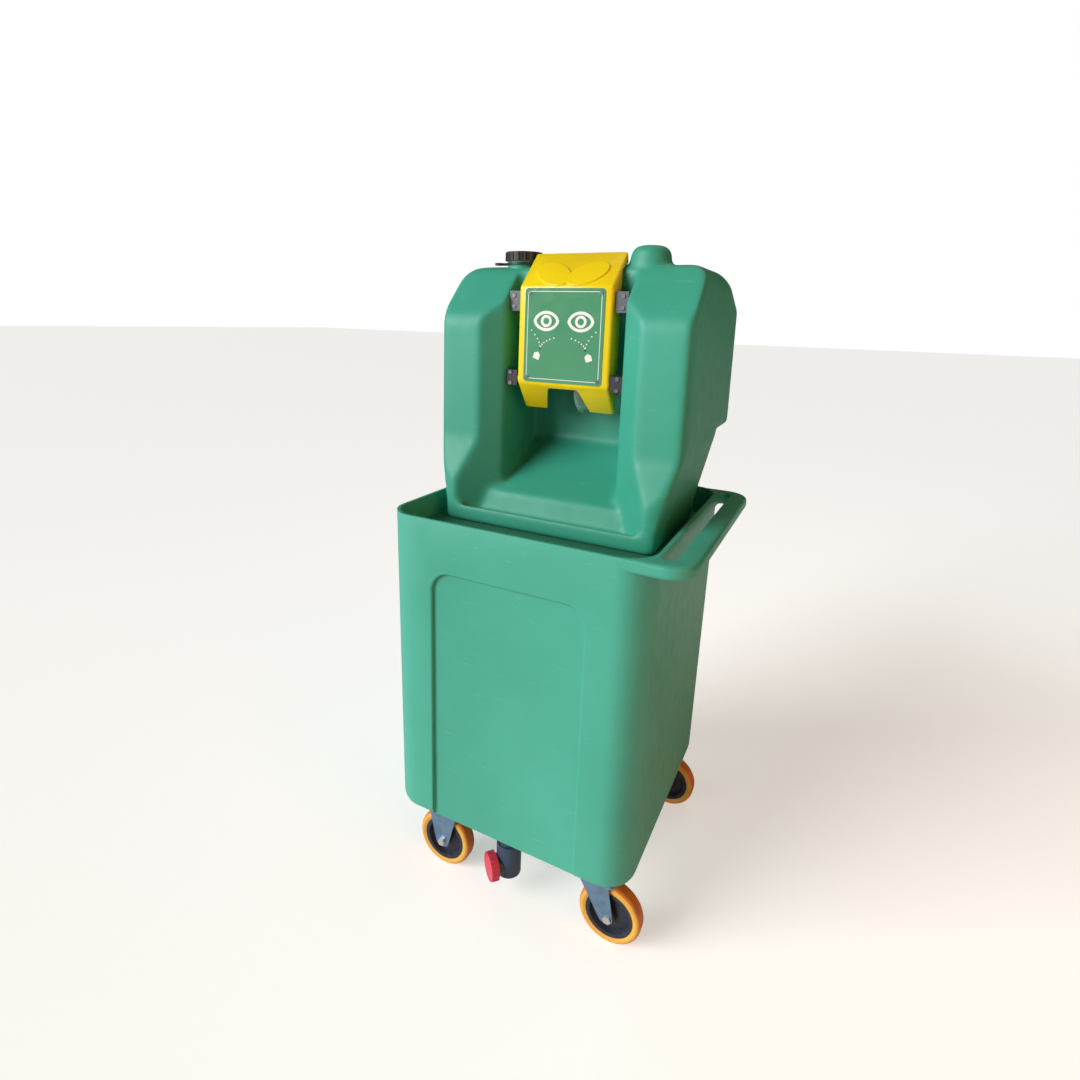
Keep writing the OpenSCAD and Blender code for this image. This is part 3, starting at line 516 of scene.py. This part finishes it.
def arc_corner(a, b, c, radius, steps):
    """The arc that rounds corner b between a and c."""
    u, v = (a - b).normalized(), (c - b).normalized()
    half = math.acos(max(-1.0, min(1.0, u.dot(v)))) / 2
    middle = b + (u + v).normalized() * radius / math.sin(half)
    start = b + u * radius / math.tan(half) - middle
    stop = b + v * radius / math.tan(half) - middle
    sweep = start.angle(stop)
    return [middle + (start * math.sin(sweep * (1 - k / steps)) + stop * math.sin(sweep * k / steps))
            / math.sin(sweep) for k in range(steps + 1)]


def rounded(points, radii, steps=8):
    """An outline in millimetres with its corners rounded, each by its own radius."""
    corners = [Vector(p) for p in points]
    line = []
    for k, here in enumerate(corners):
        before, after = corners[k - 1], corners[(k + 1) % len(corners)]
        line += arc_corner(before, here, after, radii[k], steps) if radii[k] else [here]
    return line


def slab(name, outline, axis, low, high):
    """An outline stretched along one axis: a flat disc whose corners are moved, then extruded."""
    let_go()
    bpy.ops.mesh.primitive_circle_add(vertices=len(outline), radius=1, fill_type="NGON")
    made = bpy.context.active_object
    made.name = made.data.name = name
    for corner, (a, b) in zip(made.data.vertices, outline):
        corner.co = at(*{0: (low, a, b), 1: (a, low, b), 2: (a, b, low)}[axis])
    bpy.ops.object.mode_set(mode="EDIT")
    bpy.ops.mesh.select_all(action="SELECT")
    way = Vector([(high - low) / 1000 if k == axis else 0 for k in range(3)])
    bpy.ops.mesh.extrude_region_move(TRANSFORM_OT_translate={"value": way})
    bpy.ops.mesh.select_all(action="SELECT")
    bpy.ops.mesh.normals_make_consistent(inside=False)
    let_go()
    return made


def rod(name, place, radius, low, high, sides=48, top_radius=None):
    """An upright round bar, or a cone, at a place in millimetres."""
    let_go()
    bpy.ops.mesh.primitive_cone_add(
        vertices=sides, radius1=radius / 1000, depth=(high - low) / 1000,
        radius2=(radius if top_radius is None else top_radius) / 1000,
        location=at(*place, (low + high) / 2))
    made = bpy.context.active_object
    made.name = made.data.name = name
    bpy.ops.object.transform_apply(location=True, rotation=True, scale=True)
    return made


tank = slab("tank_moulding", rounded(
    [(-130, 760), (185, 760), (185, 960), (336, 960), (376, 1000), (376, 1195), (165, 1295),
     (0, 1295), (-100, 1186), (-100, 935), (-130, 850)],
    [8, 20, 25, 30, 30, 45, 60, 50, 50, 60, 60]), 0, -270, 270)
front_shape = slab("front_shape", rounded(
    [(-230, 760), (230, 760), (232, 805), (265, 950), (265, 1295), (-265, 1295), (-265, 950),
     (-232, 805)], [10, 10, 40, 60, 40, 40, 60, 40]), 1, -135, 380)
plan_shape = slab("plan_shape", rounded(
    [(-265, -130), (265, -130), (265, 376), (-265, 376)], [60, 60, 70, 70]), 2, 755, 1300)
carve(tank, front_shape, "INTERSECT")
carve(tank, plan_shape, "INTERSECT")
recess = slab("recess", rounded(
    [(-230, 798), (-127, 798), (-118, 780), (-96, 780), (-84, 826), (83, 922), (83, 1120),
     (-8, 1190), (-8, 1400), (-230, 1400)], [0, 4, 4, 4, 8, 20, 20, 20, 0, 0]), 0, -600, 600)
recess_plan = slab("recess_plan", [Vector(p) for p in (
    (-230, -150), (230, -150), (127, -64), (127, 103), (-127, 103), (-127, -64))], 2, 740, 1420)
carve(recess, recess_plan, "INTERSECT")
carve(tank, recess)
boss = rod("boss", (140, 34), 40, 1270, 1333)
round_edges(boss, lambda a, b: min(a.z, b.z) > 1.332, 0.022, 8)
carve(tank, boss, "UNION")
change(tank, "REMESH", mode="VOXEL", voxel_size=0.005, adaptivity=0.0, use_smooth_shade=True)
change(tank, "SMOOTH", factor=0.5, iterations=14)
neck = rod("fill_neck", (-140, 34), 34, 1280, 1319, 64)
carve(tank, neck, "UNION")
bore = rod("neck_bore", (-140, 34), 27, 1283, 1325, 64)
carve(tank, bore)
drain_bore = rod("drain_bore", (0, -107), 7, 770, 790, 32)
carve(tank, drain_bore)
take(tank)
bpy.ops.object.shade_smooth_by_angle(angle=math.radians(35))
tank_green = moulded("tank_green", (0.046, 0.385, 0.275), (0.036, 0.335, 0.225), 0.5)
tank.data.materials.clear()
tank.data.materials.append(tank_green)
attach(tank, "tank")
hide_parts("tank_shell")

# ---- Activation arm -------------------------------------------------------------------
# Thin yellow shell with a flat front for the label, a top that slopes back to a rolled lip,
# a raised two-lobed relief on that slope, and a flap below that is cut out in an arch.


def off_slope(across, along, out):
    """A point on the arm's sloping top: millimetres across, up the slope and off it."""
    run, rise = 72 / 100.4, 70 / 100.4
    return across, -60 + run * along - rise * out, 1250 + rise * along + run * out


def lobe(name, side):
    """One raised ellipse on the slope, tilted outwards, with a soft edge."""
    let_go()
    bpy.ops.mesh.primitive_cylinder_add(vertices=64, radius=1, depth=1)
    made = bpy.context.active_object
    made.name = made.data.name = name
    tilt = math.radians(35)
    for corner in made.data.vertices:
        long, short, out = corner.co.x * 46, corner.co.y * 29, (corner.co.z + 0.5) * 5.6 - 2.6
        corner.co = at(*off_slope(side * (36 + long * math.cos(tilt) - short * math.sin(tilt)),
                                  36 + long * math.sin(tilt) + short * math.cos(tilt), out))
    bpy.ops.object.mode_set(mode="EDIT")
    bpy.ops.mesh.select_all(action="SELECT")
    bpy.ops.mesh.normals_make_consistent(inside=False)
    let_go()
    change(made, "BEVEL", width=0.0027, segments=5, limit_method="ANGLE")
    return made


def arm_edge(a, b):
    """Accepts the arm's outer front edges: the folds and the sides of its three front faces."""
    low, high = a - at(0, 0, 0), b - at(0, 0, 0)
    front = [(-0.018, 1.003), (-0.060, 1.058), (-0.060, 1.250), (0.012, 1.320)]
    on = [any(abs(p.y - y) < 1e-4 and abs(p.z - z) < 1e-4 for y, z in front) for p in (low, high)]
    fold = abs(low.y + 0.060) < 1e-4 and abs(high.y + 0.060) < 1e-4
    return all(on) and (fold or abs(high.x - low.x) < 1e-4)


def cross_rod(name, x, radius, length):
    """A round bar across the arm, on its pivot line, at a place in millimetres."""
    let_go()
    bpy.ops.mesh.primitive_cylinder_add(
        vertices=32, radius=radius / 1000, depth=length / 1000,
        location=at(x, pivot_y, pivot_z), rotation=(0, math.pi / 2, 0))
    made = bpy.context.active_object
    made.name = made.data.name = name
    bpy.ops.object.transform_apply(location=True, rotation=True, scale=True)
    return made


arm_half, arm_wall, pivot_y, pivot_z = 100, 3, -48, 1066
arm = slab("yellow_arm", [Vector(p) for p in (
    (-60, 1058), (-18, 1003), (-15, 1007), (-15, 1285), (16, 1300), (12, 1320), (-60, 1250))],
    0, -arm_half, arm_half)
round_edges(arm, arm_edge, 0.006, 5)
arm_hollow = slab("arm_hollow", [Vector(p) for p in (
    (-57, 1059), (1.8, 982), (76, 960), (76, 1360), (43.8, 1346.7), (-57, 1248.7))],
    0, arm_wall - arm_half, arm_half - arm_wall)
round_edges(arm_hollow, lambda a, b: max(a.y, b.y) < at(0, -56, 0).y, 0.004, 4)
carve(arm, arm_hollow)
lip = slab("lip", rounded([(5, 1309), (15.5, 1301), (15.9, 1309), (11, 1319.6)], [2, 2, 3, 2]),
           0, -98, 98)
carve(arm, lip, "UNION")
for side in (-1, 1):
    carve(arm, lobe("lobe", side), "UNION")
arch = slab("arch", rounded([(-53, 990), (53, 990), (33, 1049), (-33, 1049)], [0, 0, 9, 9]),
            1, -70, 10)
carve(arm, arch)
groove = rod("groove", (0, -61.6), 3.2, 1040, 1062, 24)
carve(arm, groove)
for side in (-1, 1):
    carve(arm, cross_rod("pivot_boss", side * 94.5, 10, 10), "UNION")
carve(arm, cross_rod("pivot_bore", 0, 5.3, 240))
change(arm, "WELD", merge_threshold=0.00005)
change(arm, "BEVEL", width=0.0009, segments=2, limit_method="ANGLE", angle_limit=math.radians(50))
take(arm)
bpy.ops.object.shade_smooth_by_angle(angle=math.radians(34))
arm_yellow = moulded("arm_yellow", (0.93, 0.72, 0.010), (0.86, 0.64, 0.008), 0.22, 0.35, 0.22)
arm.data.materials.clear()
arm.data.materials.append(arm_yellow)
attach(arm, "arm")
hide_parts("activation_arm")

# ---- Label print ----------------------------------------------------------------------
# White print on the green plate: a thin frame, two open eyes, and below each a small nozzle
# with its spray of drops. It carries no words.

ink_front, ink_back = -61.45, -61.05


def almond(x, z, half_w, half_h, steps=16):
    """The outline of an eye: two arcs that meet in points left and right."""
    top = [(x + half_w * math.cos(math.pi * k / steps),
            z + half_h * math.sin(math.pi * k / steps) ** 1.25) for k in range(steps)]
    low = [(2 * x - a, 2 * z - b) for a, b in top]
    return [Vector(p) for p in top + low]


def disc_outline(x, z, radius, sides):
    return [Vector((x + radius * math.cos(math.tau * k / sides),
                    z + radius * math.sin(math.tau * k / sides))) for k in range(sides)]


def ink(outline, hole=None):
    made = slab("ink", outline, 1, ink_front, ink_back)
    if hole:
        carve(made, slab("ink_hole", hole, 1, ink_front - 1, ink_back + 1))
    return made


def frame_outline(inset):
    low, high = 1061 + inset, 1247 - inset
    return rounded([(-85 + inset, low), (85 - inset, low), (85 - inset, high), (-85 + inset, high)],
                   [3] * 4, 3)


inked = [ink(frame_outline(6), frame_outline(7.3))]
for side in (-1, 1):
    inked += [ink(almond(side * 37, 1183, 28, 20), almond(side * 37, 1183, 21.5, 14)),
              ink(disc_outline(side * 37, 1183, 12, 32), disc_outline(side * 37, 1183, 6.5, 32))]
    tilt = math.radians(18 * side)
    corners = [(-7, -7), (7, -7), (7, 4), (0, 8.5), (-7, 4)]
    inked.append(ink(rounded([
        (side * 56 + a * math.cos(tilt) - b * math.sin(tilt),
         1114 + a * math.sin(tilt) + b * math.cos(tilt)) for a, b in corners], [1.5] * 5, 3)))
    for bend, lift, drops in ((-26, 10, 7), (24, 24, 6)):
        for k in range(drops):
            along = k / (drops - 1)
            inked.append(ink(disc_outline(side * (49 - 4 * along + bend * along * along),
                                          1128 + 28 * along + (lift - 16) * along * along,
                                          1.5, 12)))
let_go()
for piece in inked:
    piece.select_set(True)
bpy.context.view_layer.objects.active = inked[0]
bpy.ops.object.join()
label_print = inked[0]
label_print.name = label_print.data.name = "label_print"
print_white = moulded("print_white", (0.88, 0.90, 0.87), (0.80, 0.83, 0.79), 0.28, 0.25, 0.1)
label_print.data.materials.clear()
label_print.data.materials.append(print_white)
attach(label_print, "arm")

# ---- Fittings -------------------------------------------------------------------------
# Plates, pins, screws, caps, pipes and wheels keep their exact shapes; each gets its finish.

# Metal: fine drawn grain, dull patches and small pits
metal_skin, given, gives = group("metal_skin", [
    ("Colour", "NodeSocketColor", (0.6, 0.6, 0.6, 1)),
    ("Tarnish", "NodeSocketColor", (0.3, 0.3, 0.3, 1)),
    ("Gloss", "NodeSocketFloat", 0.3)], [
    ("Colour", "NodeSocketColor"), ("Roughness", "NodeSocketFloat"), ("Height", "NodeSocketFloat")])
spot = metal_skin.nodes.new("ShaderNodeTexCoord").outputs["Object"]
stretch = metal_skin.nodes.new("ShaderNodeMapping")
stretch.inputs["Scale"].default_value = (60.0, 60.0, 900.0)
metal_skin.links.new(spot, stretch.inputs["Vector"])
grain = noise(metal_skin, stretch.outputs["Vector"], 1.0, 3.0)
patches = ramp(metal_skin, noise(metal_skin, spot, 45.0, 4.0, 0.6), 0.42, 0.68)
pits = ramp(metal_skin, noise(metal_skin, spot, 700.0, 2.0), 0.64, 0.74)
dulled = mixed(metal_skin, math_node(metal_skin, "MULTIPLY", patches, 0.6), given["Colour"],
               given["Tarnish"])
pitted = mixed(metal_skin, math_node(metal_skin, "MULTIPLY", pits, 0.4), dulled, given["Tarnish"])
metal_skin.links.new(pitted, gives["Colour"])
worn_gloss = math_node(metal_skin, "MULTIPLY", patches, 0.14)
grained = ramp(metal_skin, grain, 0.3, 0.7, -0.05, 0.07)
worn_gloss = math_node(metal_skin, "ADD", worn_gloss, grained)
metal_skin.links.new(math_node(metal_skin, "ADD", worn_gloss, given["Gloss"]), gives["Roughness"])
metal_skin.links.new(math_node(metal_skin, "SUBTRACT", grain, pits), gives["Height"])

# Tyre: the tread painted a darker, redder orange than the paler sides as painted shade, split by the
# distance from the axle, with road dirt
tyre_skin, given, gives = group("tyre_skin", [
    ("Colour", "NodeSocketColor", (0.8, 0.3, 0.05, 1)),
    ("Side Colour", "NodeSocketColor", (0.8, 0.5, 0.1, 1)),
    ("Axle", "NodeSocketVector", (0.0, 0.0, 0.0))], [
    ("Colour", "NodeSocketColor"), ("Roughness", "NodeSocketFloat"), ("Height", "NodeSocketFloat")])
spot = tyre_skin.nodes.new("ShaderNodeTexCoord").outputs["Object"]
off_axle = node(tyre_skin, "ShaderNodeVectorMath", operation="SUBTRACT")
tyre_skin.links.new(spot, off_axle.inputs[0])
tyre_skin.links.new(given["Axle"], off_axle.inputs[1])
flat = node(tyre_skin, "ShaderNodeVectorMath", operation="MULTIPLY")
flat.inputs[1].default_value = (1.0, 0.0, 1.0)
tyre_skin.links.new(off_axle.outputs["Vector"], flat.inputs[0])
reach = node(tyre_skin, "ShaderNodeVectorMath", operation="LENGTH")
tyre_skin.links.new(flat.outputs["Vector"], reach.inputs[0])
tread = ramp(tyre_skin, reach.outputs["Value"], 0.0580, 0.0605)
dirt = ramp(tyre_skin, noise(tyre_skin, spot, 38.0, 5.0, 0.65), 0.45, 0.75)
cloud = ramp(tyre_skin, noise(tyre_skin, spot, 14.0, 3.0), 0.3, 0.7, 0.0, 0.25)
# The tread takes the darker Colour as painted shade, the sides the paler, lit Side Colour
shaded_tread_tone = mixed(tyre_skin, tread, given["Side Colour"], given["Colour"])
shaded_tread_tone = mixed(tyre_skin, cloud, shaded_tread_tone, given["Colour"])
dusty = math_node(tyre_skin, "MULTIPLY", dirt, ramp(tyre_skin, tread, 0.0, 1.0, 0.12, 0.42))
tyre_skin.links.new(mixed(tyre_skin, dusty, shaded_tread_tone, (0.16, 0.12, 0.09, 1)), gives["Colour"])
tyre_skin.links.new(ramp(tyre_skin, dirt, 0.0, 1.0, 0.36, 0.62), gives["Roughness"])
tyre_skin.links.new(noise(tyre_skin, spot, 300.0, 3.0), gives["Height"])


def metal(name, colour, tarnish, gloss):
    return dress(name, metal_skin, (0.25, 0.0004),
                 {"Colour": (*colour, 1), "Tarnish": (*tarnish, 1), "Gloss": gloss}, Metallic=0.9)


def coat(skin, *names):
    """Puts a finish on CAD nodes, by their objects' material slots."""
    for name in names:
        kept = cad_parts[name]
        if not kept.material_slots:
            kept.data.materials.append(skin)
        for place in kept.material_slots:
            place.material = skin


coat(moulded("deck_green", (0.045, 0.25, 0.16), (0.035, 0.20, 0.125), 0.5, 0.8), "tank_deck")
# The hinge brackets are coloured black as painted shade, so that they vanish into the dark gap beside the
# arm
coat(moulded("black_plastic", (0.030, 0.032, 0.034), (0.020, 0.021, 0.023), 0.42, 0.6),
     "fill_cap", "cap_tether", "hinge_brackets", "manifold_clip")
coat(moulded("black_rubber", (0.016, 0.016, 0.017), (0.010, 0.010, 0.010), 0.75, 0.9, 0.6),
     "fill_gasket", "drain_washer", "drain_gasket")
coat(moulded("label_green", (0.085, 0.33, 0.18), (0.070, 0.29, 0.15), 0.14, 0.3, 0.08), "arm_label")
coat(metal("dark_screws", (0.16, 0.16, 0.18), (0.08, 0.08, 0.09), 0.34),
     "label_rivets", "hinge_screws", "catch_screws")
coat(metal("bright_steel", (0.80, 0.80, 0.79), (0.50, 0.50, 0.48), 0.24),
     "arm_pins", "hose_clamps", "caster_bolts", "caster_nuts", "front_left_axle",
     "rear_left_axle", "front_right_axle", "rear_right_axle")
coat(moulded("latch_grey", (0.13, 0.14, 0.18), (0.09, 0.10, 0.13), 0.38), "left_catch", "right_catch")
coat(moulded("manifold_grey", (0.30, 0.33, 0.34), (0.24, 0.27, 0.28), 0.4),
     "spray_manifold", "tank_outlet", "outlet_nut")
coat(moulded("nozzle_orange", (0.75, 0.20, 0.03), (0.62, 0.15, 0.02), 0.3),
     "left_nozzle", "right_nozzle")
coat(moulded("strainer_white", (0.82, 0.82, 0.78), (0.70, 0.70, 0.66), 0.35), "basin_strainer")
coat(moulded("drain_grey", (0.050, 0.085, 0.150), (0.035, 0.062, 0.115), 0.34),
     "drain_bulkhead", "drain_nut", "drain_elbow")
coat(moulded("drain_red", (0.78, 0.065, 0.13), (0.66, 0.045, 0.09), 0.3), "drain_cap")
coat(metal("caster_zinc", (0.25, 0.40, 0.60), (0.14, 0.23, 0.36), 0.32),
     "front_left_plate", "rear_left_plate", "front_right_plate", "rear_right_plate",
     "front_left_fork", "rear_left_fork", "front_right_fork", "rear_right_fork",
     "front_right_race", "rear_right_race", "front_right_kingpin", "rear_right_kingpin")
coat(moulded("hub_navy", (0.022, 0.030, 0.050), (0.014, 0.019, 0.034), 0.36),
     "front_left_hub", "rear_left_hub", "front_right_hub", "rear_right_hub")
for name in ("front_left", "rear_left", "front_right", "rear_right"):
    low, high = (Vector(corner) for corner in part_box(f"{name}_tyre"))
    # Colour is the tread's orange painted darker as shade; Side Colour is the lit side's orange
    coat(dress(f"{name}_tyre_orange", tyre_skin, (0.3, 0.0006), {
        "Colour": (0.78, 0.22, 0.020, 1), "Side Colour": (0.80, 0.46, 0.07, 1),
        "Axle": (low + high) / 2}), f"{name}_tyre")
